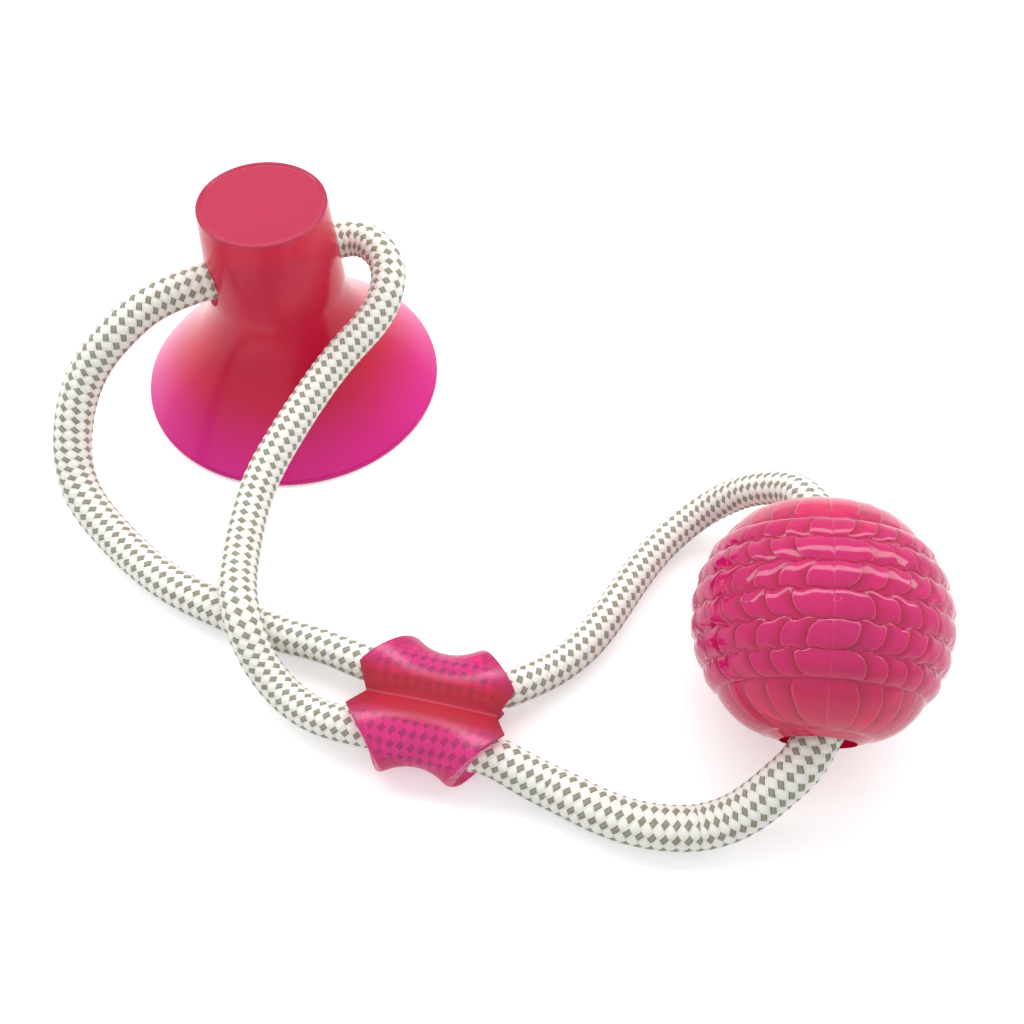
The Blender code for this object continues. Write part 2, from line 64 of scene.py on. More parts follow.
# The rope: one length of round braid, nine yarns each way, laid one over one. Every float of the
# yarns that run one way has a grey-olive fleck on cream. Its two ends meet inside the ball.
FLOOR_GAP = 0.0003
FLOATS_ROUND = 9
BALL_FLOAT_PITCH = 0.00305
NEAR_FLOAT_PITCH = 0.00299
RIGHT_FLOAT_PITCH = 0.00308
LEFT_FLOAT_PITCH = 0.0032
FAR_FLOAT_PITCH = 0.0031
NEAR_ROW_SHIFT = -0.0116
LEFT_ROW_SHIFT = 0.0432
NEAR_COLUMN_TURN = -13.5
BORE_COLUMN_TURN = 8
STEPS_PER_FLOAT = 6
YARN_SWELL = 0.00022
YARN_ROUNDING = 0.00022
CREAM = (0.97, 0.97, 0.91)
# The darker cream is painted shade, for the hollows of the braid.
CREAM_IN_SHADE = (0.80, 0.79, 0.73)
FLECK_MIDDLE = (0.34, 0.34, 0.26)
FLECK_EDGE = (0.13, 0.14, 0.11)
FLECK_BROWN = (0.30, 0.22, 0.15)
FLECK_PALE = (0.42, 0.42, 0.34)

BALL_MIDDLE = np.array((0.0892, -0.0654, 0.035))
BALL_LINE = np.array((-0.075031, -0.953357, -0.292372))
BALL_HOLE_REACH = 0.03075
BALL_HOLE_FRONT = BALL_MIDDLE + BALL_LINE * BALL_HOLE_REACH
BALL_HOLE_REAR = BALL_MIDDLE - BALL_LINE * BALL_HOLE_REACH
FERRULE_MIDDLE = BALL_MIDDLE + 0.008 * np.array((0.99692, -0.07846, 0)) + np.array((0, 0, 0.004))
FERRULE_REACH = 0.0125
SLEEVE_MIDDLE = np.array((-0.0164, -0.0819, 0.0093))
SLEEVE_ALONG = np.array((0.981627, -0.190809, 0))
SLEEVE_ACROSS = np.array((0.190809, 0.981627, 0))
STRAND_OFFSET = 0.0098
STRAND_REACH = 0.0168
FAR_BARREL = SLEEVE_MIDDLE + SLEEVE_ACROSS * STRAND_OFFSET
NEAR_BARREL = SLEEVE_MIDDLE - SLEEVE_ACROSS * STRAND_OFFSET
BORE_MIDDLE = np.array((-0.0737, 0.0523, 0.053))
BORE_ALONG = np.array((cos(radians(28)), sin(radians(28)), 0))
BORE_RIGHT_REACH = 0.0195
BORE_LEFT_REACH = 0.0255

LEFT_ROUTE = [
    (-0.1024, 0.0372, 0.0525), (-0.1102, 0.0324, 0.0510), (-0.1191, 0.0250, 0.0465),
    (-0.1246, 0.0206, 0.0420), (-0.1308, 0.0130, 0.0340), (-0.1338, 0.0033, 0.0250),
    (-0.1328, -0.0075, 0.0155), (-0.1292, -0.0140, 0.0113), (-0.1235, -0.0201, 0.0082),
    (-0.1110, -0.0315, 0.0061), (-0.0972, -0.0417, 0.0060), (-0.0806, -0.0500, 0.0060),
    (-0.0631, -0.0571, 0.0060), (-0.0489, -0.0618, 0.0076),
]
RIGHT_ROUTE = [
    (-0.0474, 0.0634, 0.0534), (-0.0415, 0.0602, 0.0527), (-0.0376, 0.0542, 0.0506),
    (-0.0372, 0.0467, 0.0474), (-0.0406, 0.0388, 0.0430), (-0.0484, 0.0296, 0.0384),
    (-0.0596, 0.0142, 0.0316), (-0.0671, 0.0006, 0.0266), (-0.0729, -0.0126, 0.0220),
    (-0.0754, -0.0275, 0.0190), (-0.0754, -0.0425, 0.0182), (-0.0742, -0.0516, 0.0186),
    (-0.0714, -0.0602, 0.0172), (-0.0670, -0.0686, 0.0122), (-0.0592, -0.0770, 0.0080),
    (-0.0486, -0.0842, 0.0078),
]
FAR_ROUTE = [
    (0.0069, -0.0739, 0.0088), (0.0170, -0.0674, 0.0066), (0.0274, -0.0580, 0.0060),
    (0.0367, -0.0444, 0.0060), (0.0448, -0.0312, 0.0060), (0.0550, -0.0184, 0.0066),
    (0.0650, -0.0110, 0.0100), (0.0742, -0.0106, 0.0190), (0.0806, -0.0150, 0.0286),
    (0.0870, -0.0226, 0.0376),
]
NEAR_ROUTE = [
    (0.0088, -0.0990, 0.0076), (0.0198, -0.1040, 0.0061), (0.0306, -0.1093, 0.0060),
    (0.0436, -0.1130, 0.0060), (0.0566, -0.1132, 0.0064), (0.0680, -0.1104, 0.0104),
    (0.0770, -0.1052, 0.0174), (0.0830, -0.1004, 0.0222),
]
GIRTHS = [
    (BALL_HOLE_FRONT, 0.0121), (NEAR_ROUTE[6], 0.0123), (NEAR_ROUTE[1], 0.0122),
    (NEAR_BARREL, 0.0112), (RIGHT_ROUTE[15], 0.0101), (RIGHT_ROUTE[13], 0.0102),
    (RIGHT_ROUTE[11], 0.0113), (RIGHT_ROUTE[6], 0.0107), (RIGHT_ROUTE[2], 0.0112),
    (BORE_MIDDLE, 0.0115), (LEFT_ROUTE[2], 0.0117), (LEFT_ROUTE[8], 0.0117),
    (LEFT_ROUTE[11], 0.0113), (LEFT_ROUTE[13], 0.0100), (FAR_BARREL, 0.0104),
    (FAR_ROUTE[2], 0.0103), (FAR_ROUTE[9], 0.0104), (BALL_HOLE_REAR, 0.0106),
]


def laid(points, start_way, end_way):
    """Closely spaced points on a smooth line through the route, with its end directions set."""
    knots = np.array(points, dtype=float)
    gaps = np.linalg.norm(np.diff(knots, axis=0), axis=1)
    count = len(knots)
    matrix = np.zeros((count, count))
    target = np.zeros((count, 3))
    matrix[0, 0] = matrix[-1, -1] = 1
    target[0] = start_way
    target[-1] = end_way
    for i in range(1, count - 1):
        before, after = gaps[i - 1], gaps[i]
        matrix[i, i - 1:i + 2] = (after, 2 * (before + after), before)
        rise_after = (knots[i + 1] - knots[i]) / after
        rise_before = (knots[i] - knots[i - 1]) / before
        target[i] = 3 * (before * rise_after + after * rise_before)
    slopes = np.linalg.solve(matrix, target)
    line = []
    for i, gap in enumerate(gaps):
        for t in np.linspace(0, 1, 40, endpoint=False):
            line.append(
                (1 + 2 * t) * (1 - t) ** 2 * knots[i] + t * (1 - t) ** 2 * gap * slopes[i]
                + t * t * (3 - 2 * t) * knots[i + 1] + t * t * (t - 1) * gap * slopes[i + 1]
            )
    line.append(knots[-1])
    return np.array(line)


near_stretch = laid(
    [NEAR_BARREL + SLEEVE_ALONG * STRAND_REACH, *NEAR_ROUTE, BALL_HOLE_FRONT,
     FERRULE_MIDDLE + BALL_LINE * FERRULE_REACH],
    SLEEVE_ALONG, -BALL_LINE,
)
far_stretch = laid(
    [FAR_BARREL + SLEEVE_ALONG * STRAND_REACH, *FAR_ROUTE, BALL_HOLE_REAR,
     FERRULE_MIDDLE - BALL_LINE * FERRULE_REACH],
    SLEEVE_ALONG, BALL_LINE,
)
right_stretch = laid(
    [BORE_MIDDLE + BORE_ALONG * BORE_RIGHT_REACH, *RIGHT_ROUTE,
     NEAR_BARREL - SLEEVE_ALONG * STRAND_REACH],
    BORE_ALONG, SLEEVE_ALONG,
)
left_stretch = laid(
    [BORE_MIDDLE - BORE_ALONG * BORE_LEFT_REACH, *LEFT_ROUTE,
     FAR_BARREL - SLEEVE_ALONG * STRAND_REACH],
    -BORE_ALONG, SLEEVE_ALONG,
)
whole = np.concatenate([
    [FERRULE_MIDDLE], near_stretch[::-1], right_stretch[::-1], left_stretch, far_stretch,
    [FERRULE_MIDDLE],
])
along = np.concatenate([[0], np.cumsum(np.linalg.norm(np.diff(whole, axis=0), axis=1))])


def place_of(point):
    """How far along the rope this point lies."""
    return along[np.argmin(np.linalg.norm(whole - np.array(point), axis=1))]


# The braid is a little longer in its rows where the rope is pulled straight. Each pair is a
# place on the rope, and how many rows of floats the rope has up to there.
rows = [(0.0, 0.0)]


def run_rows(end, pitch):
    """Carry the rows on to this place."""
    place, count = rows[-1]
    rows.append((end, count + (end - place) / pitch))


def line_up(place, pitch):
    """Turn the count of rows a little, so that a row starts at this later place."""
    shift = (place - rows[-1][0]) / pitch
    rows[-1] = (rows[-1][0], round(rows[-1][1]) - shift + ceil(shift))


run_rows(place_of(BALL_HOLE_FRONT), BALL_FLOAT_PITCH)
line_up(place_of(NEAR_ROUTE[0]) + NEAR_ROW_SHIFT, NEAR_FLOAT_PITCH)
run_rows(place_of(NEAR_BARREL), NEAR_FLOAT_PITCH)
run_rows(place_of(BORE_MIDDLE), RIGHT_FLOAT_PITCH)
line_up(place_of(LEFT_ROUTE[0]) + LEFT_ROW_SHIFT, LEFT_FLOAT_PITCH)
run_rows(place_of(FAR_BARREL), LEFT_FLOAT_PITCH)
run_rows(along[-1], FAR_FLOAT_PITCH)
row_places, row_counts = np.array(rows).T

ring_count = int(row_counts[-1] * STEPS_PER_FLOAT)
v = np.arange(ring_count + 1) / STEPS_PER_FLOAT
s = np.interp(v, row_counts, row_places)
middle = np.stack([np.interp(s, along, whole[:, axis]) for axis in range(3)], axis=1)
girth_places, girths = np.array(sorted((place_of(p), g) for p, g in GIRTHS)).T
radius = np.interp(s, girth_places, girths) / 2
radius = np.convolve(np.pad(radius, 12, mode="edge"), np.ones(25) / 25, mode="valid")
soft_window = np.hanning(19)[1:-1] / 9
for axis in range(3):
    padded = np.pad(middle[:, axis], 8, mode="edge")
    middle[:, axis] = np.convolve(padded, soft_window, mode="valid")
middle[:, 2] = np.maximum(middle[:, 2], radius + FLOOR_GAP)

travel = np.gradient(middle, axis=0)
travel /= np.linalg.norm(travel, axis=1, keepdims=True)
sideways = np.cross(travel, (0, 0, 1))
sideways /= np.linalg.norm(sideways, axis=1, keepdims=True)
upwards = np.cross(sideways, travel)
first_column = np.interp(
    s, [place_of(NEAR_BARREL), place_of(BORE_MIDDLE)],
    [radians(NEAR_COLUMN_TURN), radians(BORE_COLUMN_TURN)],
)

columns = FLOATS_ROUND * STEPS_PER_FLOAT
u = np.arange(columns) / STEPS_PER_FLOAT
one_run = u[None, :] + v[:, None]
other_run = u[None, :] - v[:, None]
off_one = one_run - np.round(one_run)
off_other = other_run - np.round(other_run)
flecked = YARN_SWELL * np.cos(pi * (one_run - np.round(other_run)))
flecked -= YARN_ROUNDING * (2 * off_other) ** 2
plain = -YARN_SWELL * np.cos(pi * (other_run - np.round(one_run)))
plain -= YARN_ROUNDING * (2 * off_one) ** 2
reach = radius[:, None] - 0.7 * YARN_SWELL + np.maximum(flecked, plain)
turn = first_column[:, None] - u[None, :] * 2 * pi / FLOATS_ROUND
skin = (
    middle[:, None, :]
    + (reach * np.cos(turn))[:, :, None] * upwards[:, None, :]
    + (reach * np.sin(turn))[:, :, None] * sideways[:, None, :]
)


def skinned(name, rings, caps=False, closed=False, wrap_map=None):
    """A mesh object with faces between rings of points, and a map of them if it is asked for."""
    count, around = rings.shape[:2]
    index = np.arange(count * around).reshape(count, around)
    low, high = index, np.roll(index, -1, axis=0)
    if not closed:
        low, high = low[:-1], high[:-1]
    faces = np.stack([low, high, np.roll(high, -1, axis=1), np.roll(low, -1, axis=1)], axis=2)
    faces = faces.reshape(-1, 4).tolist()
    if caps:
        faces += [index[0].tolist(), index[-1][::-1].tolist()]
    mesh = bpy.data.meshes.new(name)
    mesh.from_pydata(rings.reshape(-1, 3).tolist(), [], faces)
    if wrap_map:
        step_round, step_along = wrap_map
        i, j = np.meshgrid(np.arange(around), np.arange(count - 1))
        corners = [(i, j), (i, j + 1), (i + 1, j + 1), (i + 1, j)]
        spots = [np.stack([a * step_round, b * step_along], axis=2) for a, b in corners]
        spots = np.stack(spots, axis=2).reshape(-1, 2)
        spots = np.concatenate([spots, np.zeros((len(mesh.loops) - len(spots), 2))])
        mesh.uv_layers.new(name="braid").data.foreach_set("uv", spots.ravel())
    mesh.shade_smooth()
    made = bpy.data.objects.new(name, mesh)
    bpy.context.scene.collection.objects.link(made)
    bpy.context.view_layer.update()
    return made


def work(tree, operation, *values):
    """A Math node whose inputs are sockets or numbers. It gives its output socket."""
    node = tree.nodes.new("ShaderNodeMath")
    node.operation = operation
    for target, value in zip(node.inputs, values):
        if isinstance(value, (int, float)):
            target.default_value = value
        else:
            tree.links.new(value, target)
    return node.outputs[0]


def fade(tree, value, start, end):
    """One where the value is at start, and zero at end, with a soft step between."""
    node = tree.nodes.new("ShaderNodeMapRange")
    node.interpolation_type = "SMOOTHSTEP"
    tree.links.new(value, node.inputs["Value"])
    for key, number in (("From Min", end), ("From Max", start), ("To Min", 0), ("To Max", 1)):
        node.inputs[key].default_value = number
    return node.outputs[0]


def blend(tree, share, low, high, method="MIX"):
    """A colour between two, which are sockets or plain colours."""
    node = tree.nodes.new("ShaderNodeMix")
    node.data_type = "RGBA"
    node.blend_type = method
    for target, value in ((node.inputs[0], share), (node.inputs[6], low), (node.inputs[7], high)):
        if isinstance(value, bpy.types.NodeSocket):
            tree.links.new(value, target)
        elif isinstance(value, tuple):
            target.default_value = (*value, 1)
        else:
            target.default_value = value
    return node.outputs[2]


def new_finish(name, roughness):
    """A Principled material: its node tree and its shader."""
    made = bpy.data.materials.new(name)
    made.use_nodes = True
    shader = made.node_tree.nodes["Principled BSDF"]
    shader.inputs["Roughness"].default_value = roughness
    return made, made.node_tree, shader


braid, tree, shader = new_finish("cream_braid", 0.8)
layout = tree.nodes.new("ShaderNodeUVMap")
layout.uv_map = "braid"
spot = tree.nodes.new("ShaderNodeSeparateXYZ")
tree.links.new(layout.outputs[0], spot.inputs[0])
one = work(tree, "ADD", spot.outputs[0], spot.outputs[1])
other = work(tree, "SUBTRACT", spot.outputs[0], spot.outputs[1])
one_yarn = work(tree, "ROUND", one)
other_yarn = work(tree, "ROUND", other)
in_one = work(tree, "SUBTRACT", one, one_yarn)
in_other = work(tree, "SUBTRACT", other, other_yarn)
under = work(tree, "FLOORED_MODULO", work(tree, "ADD", one_yarn, other_yarn), 2.0)
over = work(tree, "SUBTRACT", 1.0, under)
across_yarn = work(
    tree, "ADD", work(tree, "MULTIPLY", over, in_other), work(tree, "MULTIPLY", under, in_one)
)
along_yarn = work(
    tree, "ADD", work(tree, "MULTIPLY", over, in_one), work(tree, "MULTIPLY", under, in_other)
)
from_middle = work(tree, "ABSOLUTE", across_yarn)
from_crown = work(tree, "ABSOLUTE", along_yarn)
yarn_names = tree.nodes.new("ShaderNodeCombineXYZ")
tree.links.new(one_yarn, yarn_names.inputs[0])
tree.links.new(other_yarn, yarn_names.inputs[1])
chance = tree.nodes.new("ShaderNodeTexWhiteNoise")
chance.noise_dimensions = "2D"
tree.links.new(yarn_names.outputs[0], chance.inputs["Vector"])
wander = tree.nodes.new("ShaderNodeTexNoise")
wander.inputs["Scale"].default_value = 1.3
wander.inputs["Detail"].default_value = 3
tree.links.new(layout.outputs[0], wander.inputs["Vector"])
ragged = work(tree, "MULTIPLY", work(tree, "SUBTRACT", wander.outputs[0], 0.5), 0.16)
width_edge = work(tree, "ADD", from_middle, ragged)
length_edge = work(tree, "ADD", from_crown, ragged)
fleck = work(
    tree, "MULTIPLY", over,
    work(tree, "MULTIPLY", fade(tree, width_edge, 0.30, 0.37), fade(tree, length_edge, 0.41, 0.48)),
)
strands = work(
    tree, "ADD", work(tree, "MULTIPLY", across_yarn, 27.0),
    work(tree, "MULTIPLY", wander.outputs[0], 5.0),
)
filaments = work(tree, "ADD", work(tree, "MULTIPLY", work(tree, "SINE", strands), 0.5), 0.5)
# Painted shade: the cream is blended darker in the hollows between the yarns and along the grooves
# between their strands.
hollow = work(
    tree, "MAXIMUM", fade(tree, from_middle, 0.5, 0.36), fade(tree, from_crown, 0.5, 0.40)
)
cream = blend(tree, work(tree, "MULTIPLY", hollow, 0.55), CREAM, CREAM_IN_SHADE)
cream = blend(tree, work(tree, "MULTIPLY", filaments, 0.12), cream, CREAM_IN_SHADE)
fleck_colour = blend(tree, fade(tree, from_middle, 0.30, 0.14), FLECK_MIDDLE, FLECK_EDGE)
browned = work(tree, "MULTIPLY", work(tree, "POWER", chance.outputs[0], 2.0), 0.7)
fleck_colour = blend(tree, browned, fleck_colour, FLECK_BROWN)
fleck_colour = blend(tree, work(tree, "MULTIPLY", filaments, 0.35), fleck_colour, FLECK_PALE)
tree.links.new(blend(tree, fleck, cream, fleck_colour), shader.inputs["Base Color"])
ridges = tree.nodes.new("ShaderNodeBump")
ridges.inputs["Strength"].default_value = 0.6
ridges.inputs["Distance"].default_value = 0.00012
tree.links.new(filaments, ridges.inputs["Height"])
tree.links.new(ridges.outputs[0], shader.inputs["Normal"])
shader.inputs["Specular IOR Level"].default_value = 0.3
shader.inputs["Sheen Weight"].default_value = 0.15

rope = skinned("braided_rope", skin, caps=True, wrap_map=(1 / STEPS_PER_FLOAT, 1 / STEPS_PER_FLOAT))
rope.data.materials.append(braid)
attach(rope, "rope_loop")
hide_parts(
    "rope_in_neck", "rope_left_stretch", "rope_right_stretch", "rope_in_sleeve_far",
    "rope_in_sleeve_near", "rope_far_stretch", "rope_near_stretch",
)

# The crimp ferrule: a short plated steel tube, pressed onto the rope's two ends inside the ball.
# The press leaves two grooves round it and fine marks along it.
STEEL_DARK = (0.42, 0.42, 0.43)
STEEL_PALE = (0.66, 0.66, 0.68)

steel, tree, shader = new_finish("plated_steel", 0.3)
shader.inputs["Metallic"].default_value = 1.0
place = tree.nodes.new("ShaderNodeTexCoord")
draw_marks = tree.nodes.new("ShaderNodeTexNoise")
draw_marks.inputs["Scale"].default_value = 900
draw_marks.inputs["Detail"].default_value = 4
tree.links.new(place.outputs["Object"], draw_marks.inputs["Vector"])
tree.links.new(
    blend(tree, draw_marks.outputs[0], STEEL_DARK, STEEL_PALE), shader.inputs["Base Color"]
)
tree.links.new(
    work(tree, "ADD", 0.22, work(tree, "MULTIPLY", draw_marks.outputs[0], 0.2)),
    shader.inputs["Roughness"],
)
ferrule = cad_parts["crimp_ferrule"]
ferrule.data.materials.clear()
ferrule.data.materials.append(steel)

# The suction cup: one soft, clear pink rubber moulding. A round neck with a thin raised rim runs
# down into a bell with a wide thin lip. The rope's bore is moulded through the neck.
CUP_AT = (-0.0737, 0.0523)
CUP_HEIGHT = 0.076
NECK_RADIUS = 0.0199
NECK_FOOT = (0.0221, 0.0455)
TOP_RIM_WIDTH = 0.0011
TOP_RIM_HEIGHT = 0.0004
TOP_EDGE_RADIUS = 0.00035
LIP_RADIUS = 0.0504
LIP_THICKNESS = 0.0026
LIP_LAND = 0.0024
HOLLOW_DEPTH = 0.017
CUP_COLUMNS = 160
NECK_BORE_RADIUS = 0.0064
BORE_COLUMNS = 64
BORE_SECTIONS = ((-0.028, 0.0045), (-0.02, 0.0022), (-0.013, 0), (0.026, 0))
# The middle and size of an oval of painted shade on the neck, round the bore's right mouth.
BORE_SHADE_MIDDLE = BORE_MIDDLE + BORE_ALONG * 0.014 + np.array((0, 0, 0.0185))
BORE_SHADE_SIZE = (0.0125, 0.0085)
RUBBER_THIN = (0.90, 0.025, 0.37)
RUBBER_THICK = (0.78, 0.02, 0.075)
# A deeper red for the flat top: painted shade.
TOP_SHADE_RED = (0.62, 0.04, 0.11)
# A darker red round the bore's right mouth: painted shade.
BORE_SHADE_RED = (0.78, 0.008, 0.055)
SMEAR_RED = (0.70, 0.02, 0.10)


def pulled_curve(start, pull_a, pull_b, end, steps):
    """Points of a smooth curve in a plane that two pulls shape, both ends included."""
    t = np.linspace(0, 1, steps + 1)[:, None]
    start, pull_a, pull_b, end = (np.array(p, dtype=float) for p in (start, pull_a, pull_b, end))
    return (
        (1 - t) ** 3 * start + 3 * t * (1 - t) ** 2 * pull_a
        + 3 * t * t * (1 - t) * pull_b + t ** 3 * end
    )


def corner(middle, radius, start, end, steps):
    """Points of a round corner in a plane, both ends included."""
    angle = np.radians(np.linspace(start, end, steps + 1))
    across, up = middle[0] + radius * np.cos(angle), middle[1] + radius * np.sin(angle)
    return np.stack([across, up], axis=1)


spread = LIP_RADIUS - NECK_FOOT[0]
land_inside = LIP_RADIUS - LIP_THICKNESS / 4 - LIP_LAND
lip_round = LIP_THICKNESS * 0.42
face_height = CUP_HEIGHT - TOP_RIM_HEIGHT
edge = TOP_EDGE_RADIUS
rim_inside = NECK_RADIUS - TOP_RIM_WIDTH
profile = np.concatenate([
    np.linspace((0.00001, face_height), (rim_inside - 3 * edge, face_height), 5),
    [(rim_inside - edge, face_height), (rim_inside - 0.4 * edge, face_height + 0.3 * edge)],
    [(rim_inside + 0.2 * edge, CUP_HEIGHT - 0.2 * edge), (rim_inside + edge, CUP_HEIGHT)],
    corner((NECK_RADIUS - edge, CUP_HEIGHT - edge), edge, 90, 0, 6),
    np.linspace((NECK_RADIUS, CUP_HEIGHT - 2 * edge), NECK_FOOT, 14),
    pulled_curve(
        NECK_FOOT, (NECK_FOOT[0], NECK_FOOT[1] * 0.64),
        (NECK_FOOT[0] + spread * 0.54, NECK_FOOT[1] * 0.37),
        (LIP_RADIUS - 0.0004, LIP_THICKNESS), 60,
    )[1:],
    corner((LIP_RADIUS - lip_round, lip_round), lip_round, 60, -80, 8),
    [(land_inside + 0.0002, 0.00002)],
    pulled_curve(
        (land_inside, 0.0001), (land_inside * 0.775, HOLLOW_DEPTH * 0.55),
        (land_inside * 0.55, HOLLOW_DEPTH), (0.00001, HOLLOW_DEPTH), 40,
    ),
])
around = np.linspace(0, 2 * pi, CUP_COLUMNS, endpoint=False)
rings = np.stack([
    CUP_AT[0] + profile[:, :1] * np.cos(around)[None, :],
    CUP_AT[1] + profile[:, :1] * np.sin(around)[None, :],
    np.repeat(profile[:, 1:], CUP_COLUMNS, axis=1),
], axis=2)
cup = skinned("cup_moulding", rings[::-1], caps=True)


def drilled(piece, drills):
    """Cut these closed shapes out of a piece for good."""
    for drill in drills:
        cut = piece.modifiers.new("cut", "BOOLEAN")
        cut.operation = "DIFFERENCE"
        cut.solver = "EXACT"
        cut.object = drill
    bpy.context.view_layer.update()
    graph = bpy.context.evaluated_depsgraph_get()
    result = bpy.data.meshes.new_from_object(piece.evaluated_get(graph))
    piece.modifiers.clear()
    piece.data = result
    for drill in drills:
        bpy.data.objects.remove(drill, do_unlink=True)
    result.shade_smooth()
    result.set_sharp_from_angle(angle=radians(40))


bore_turn = np.linspace(0, 2 * pi, BORE_COLUMNS, endpoint=False)
bore_side = np.array((-BORE_ALONG[1], BORE_ALONG[0], 0))
bore_rings = np.stack([
    BORE_MIDDLE + BORE_ALONG * reach
    + NECK_BORE_RADIUS * np.cos(bore_turn)[:, None] * bore_side
    + (NECK_BORE_RADIUS * np.sin(bore_turn)[:, None] - sag * (1 - np.sin(bore_turn)[:, None]) / 2)
    * np.array((0, 0, 1))
    for reach, sag in BORE_SECTIONS
])
drilled(cup, [skinned("bore_drill", bore_rings[::-1], caps=True)])


def add_socket(group, name, kind, way, value=None):
    """A named socket on a shader node group."""
    socket = group.interface.new_socket(name=name, in_out=way, socket_type="NodeSocket" + kind)
    if value is not None:
        socket.default_value = value


moulded = bpy.data.node_groups.new("moulded_rubber_skin", "ShaderNodeTree")
add_socket(moulded, "Wave Size", "Float", "INPUT", 45.0)
add_socket(moulded, "Gloss", "Float", "INPUT", 0.25)
add_socket(moulded, "Colour", "Color", "INPUT")
add_socket(moulded, "Colour", "Color", "OUTPUT")
add_socket(moulded, "Roughness", "Float", "OUTPUT")
add_socket(moulded, "Height", "Float", "OUTPUT")
entry = moulded.nodes.new("NodeGroupInput")
leave = moulded.nodes.new("NodeGroupOutput")
place = moulded.nodes.new("ShaderNodeTexCoord")
waves = moulded.nodes.new("ShaderNodeTexNoise")
waves.inputs["Detail"].default_value = 1
moulded.links.new(place.outputs["Object"], waves.inputs["Vector"])
moulded.links.new(entry.outputs["Wave Size"], waves.inputs["Scale"])
smear = moulded.nodes.new("ShaderNodeTexNoise")
smear.inputs["Scale"].default_value = 40
smear.inputs["Detail"].default_value = 1
moulded.links.new(place.outputs["Object"], smear.inputs["Vector"])
smeared = fade(moulded, smear.outputs[0], 0.7, 0.35)
dim = blend(
    moulded, work(moulded, "MULTIPLY", smeared, 0.12), entry.outputs["Colour"], SMEAR_RED
)
moulded.links.new(dim, leave.inputs["Colour"])
moulded.links.new(
    work(moulded, "ADD", entry.outputs["Gloss"], work(moulded, "MULTIPLY", smeared, 0.04)),
    leave.inputs["Roughness"],
)
moulded.links.new(waves.outputs[0], leave.inputs["Height"])


def rubber(name, thin_colour, thick_colour, thickness, gloss, depth, density, tint, clearness):
    """Clear soft rubber: light goes through it, and its thickness deepens the colour.

    The thickness is a function of the tree and its place socket, and gives a share from 0 to 1.
    For the ball the share is painted shade towards its poles, not the wall's thickness.
    """
    made, tree, shader = new_finish(name, gloss)
    skin_marks = tree.nodes.new("ShaderNodeGroup")
    skin_marks.node_tree = moulded
    skin_marks.inputs["Gloss"].default_value = gloss
    place = tree.nodes.new("ShaderNodeTexCoord").outputs["Object"]
    tree.links.new(
        blend(tree, thickness(tree, place), thin_colour, thick_colour), skin_marks.inputs["Colour"]
    )
    tree.links.new(skin_marks.outputs["Colour"], shader.inputs["Base Color"])
    tree.links.new(skin_marks.outputs["Roughness"], shader.inputs["Roughness"])
    swell = tree.nodes.new("ShaderNodeBump")
    swell.inputs["Strength"].default_value = 1.0
    swell.inputs["Distance"].default_value = depth
    tree.links.new(skin_marks.outputs["Height"], swell.inputs["Height"])
    tree.links.new(swell.outputs[0], shader.inputs["Normal"])
    shader.inputs["IOR"].default_value = 1.5
    shader.inputs["Specular IOR Level"].default_value = 0.4
    shader.inputs["Transmission Weight"].default_value = clearness
    inside = tree.nodes.new("ShaderNodeVolumeAbsorption")
    inside.inputs["Color"].default_value = (*tint, 1)
    inside.inputs["Density"].default_value = density
    tree.links.new(inside.outputs[0], tree.nodes["Material Output"].inputs["Volume"])
    return made


def one_way(tree, place, middle, way):
    """How far the place lies from a middle, measured one way."""
    measured = tree.nodes.new("ShaderNodeVectorMath")
    measured.operation = "DOT_PRODUCT"
    measured.inputs[1].default_value = tuple(way)
    tree.links.new(place, measured.inputs[0])
    return work(tree, "SUBTRACT", measured.outputs["Value"], float(np.dot(middle, way)))


def cup_thickness(tree, place):
    """The wall is thick in the neck and the bell's waist, and thin out to the lip."""
    return fade(tree, one_way(tree, place, (0, 0, 0), (0, 0, 1)), 0.024, 0.002)


cup.data.materials.clear()
cup.data.materials.append(
    rubber(
        "cup_rubber", RUBBER_THIN, RUBBER_THICK, cup_thickness, gloss=0.18, depth=0.0002,
        density=55, tint=(1.0, 0.30, 0.66), clearness=0.3,
    )
)
tree = cup.data.materials[0].node_tree
tree.nodes["Principled BSDF"].inputs["Specular IOR Level"].default_value = 0.16
place = tree.nodes["Texture Coordinate"].outputs["Object"]
base = tree.nodes["Principled BSDF"].inputs["Base Color"]
from_top = one_way(tree, place, (0, 0, CUP_HEIGHT), (0, 0, -1))
# Painted shade: an oval patch of darker red on the neck, round the bore's right mouth.
sideward = one_way(tree, place, BORE_SHADE_MIDDLE, BORE_ALONG)
sideward = work(tree, "DIVIDE", sideward, BORE_SHADE_SIZE[0])
upward = one_way(tree, place, BORE_SHADE_MIDDLE, (0, 0, 1))
upward = work(tree, "DIVIDE", upward, BORE_SHADE_SIZE[1])
from_mouth = work(
    tree, "ADD", work(tree, "MULTIPLY", sideward, sideward),
    work(tree, "MULTIPLY", upward, upward),
)
bore_shade = work(tree, "MULTIPLY", fade(tree, from_mouth, 0.75, 1.1), 0.85)
with_bore_shade = blend(tree, bore_shade, base.links[0].from_socket, BORE_SHADE_RED)
# Painted shade: the flat top is blended to a deeper red, to take down the extra light it gets from
# above.
tree.links.new(blend(tree, fade(tree, from_top, 0.0004, 0.0011), with_bore_shade, TOP_SHADE_RED), base)
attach(cup, "cup")
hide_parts("suction_cup")

